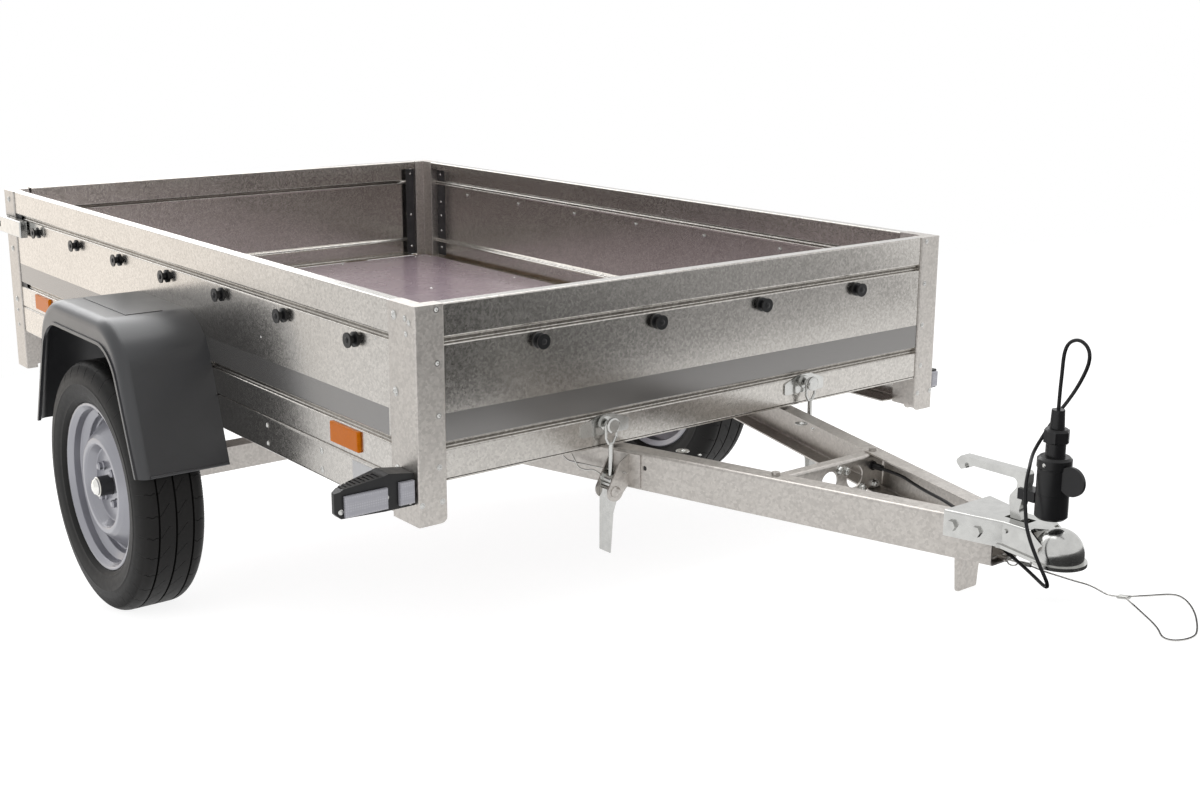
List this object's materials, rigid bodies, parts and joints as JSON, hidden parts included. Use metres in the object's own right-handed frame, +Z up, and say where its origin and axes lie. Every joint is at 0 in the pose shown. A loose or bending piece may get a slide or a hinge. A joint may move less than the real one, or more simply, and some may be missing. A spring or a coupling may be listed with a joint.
{
  "type": "utility trailer",
  "caption": "Open single-axle utility trailer with ribbed steel sides, an A-frame drawbar, a tipping load bed, a hinged tailgate and plastic mudguards, parked on its nose foot.",
  "frame": {"origin": "on the ground at the middle of the trailer's length and width as it stands parked", "axes": "+X forward towards the tow coupling, +Y to the left, +Z up"},
  "size_m": [3.2602, 1.786, 1.0604],
  "materials": {
    "galvanised": "dull zinc coat",
    "phenolic_ply": "smooth dark film face",
    "zinc_bright": "bright zinc plate",
    "rim_silver": "silver paint",
    "tyre": "matte",
    "guard_plastic": "smooth black",
    "black_plastic": "fine texture",
    "amber": "gloss",
    "white_lens": "gloss",
    "red_lens": "gloss",
    "cable_black": "matte",
    "wire": "twisted wire"
  },
  "bodies": {
    "drawbar": {"drawbar_beams": "galvanised", "drawbar_tie": "galvanised", "coupling_head": "zinc_bright", "coupling_handle": "zinc_bright", "drawbar_foot": "galvanised", "latch_levers": "zinc_bright", "latch_clips": "zinc_bright", "latch_brackets": "galvanised", "plug": "black_plastic", "plug_holder": "black_plastic", "electric_cable": "cable_black", "cable_grommet": "cable_black", "breakaway_anchor": "galvanised", "breakaway_wire": "wire", "breakaway_loop": "wire"},
    "bed": {"side_walls": "galvanised", "front_wall": "galvanised", "front_posts": "galvanised", "rear_posts": "galvanised", "post_caps": "galvanised", "floor_board": "phenolic_ply", "side_rails": "galvanised", "floor_members": "galvanised", "floor_front_strip": "galvanised", "rear_sill": "galvanised", "pivot_brackets": "galvanised", "axle_tube": "galvanised", "axle_hangers": "galvanised", "swing_arms": "galvanised", "mudguard_left": "guard_plastic", "mudguard_right": "guard_plastic", "rope_hooks": "black_plastic", "side_reflectors": "amber", "marker_lamps": "black_plastic", "marker_lenses": "white_lens", "lamp_boards": "galvanised", "tail_lamps": "black_plastic", "tail_lenses": "red_lens", "turn_lenses": "amber", "tailgate_hinges": "galvanised", "latch_studs": "zinc_bright", "latch_rings": "zinc_bright", "gate_latches": "zinc_bright"},
    "tailgate": {"tailgate": "galvanised"},
    "wheel_left": {"hub_left": "zinc_bright", "rim_left": "rim_silver", "tyre_left": "tyre"},
    "wheel_right": {"hub_right": "zinc_bright", "rim_right": "rim_silver", "tyre_right": "tyre"}
  },
  "joints": [
    {"name": "bed_tip", "type": "hinge", "parent": "drawbar", "child": "bed", "pos_m": [-0.42574, 0, 0.47347], "axis": [0, -1, 0], "range_deg": [0, 16]},
    {"name": "tailgate_swing", "type": "hinge", "parent": "bed", "child": "tailgate", "pos_m": [-1.46856, 0, 0.75114], "axis": [0, -1, 0], "range_deg": [0, 170]},
    {"name": "wheel_left_spin", "type": "hinge", "parent": "bed", "child": "wheel_left", "pos_m": [-0.44599, 0.813, 0.286], "axis": [0, 1, 0], "continuous": true},
    {"name": "wheel_right_spin", "type": "hinge", "parent": "bed", "child": "wheel_right", "pos_m": [-0.44599, -0.813, 0.286], "axis": [0, 1, 0], "continuous": true}
  ]
}
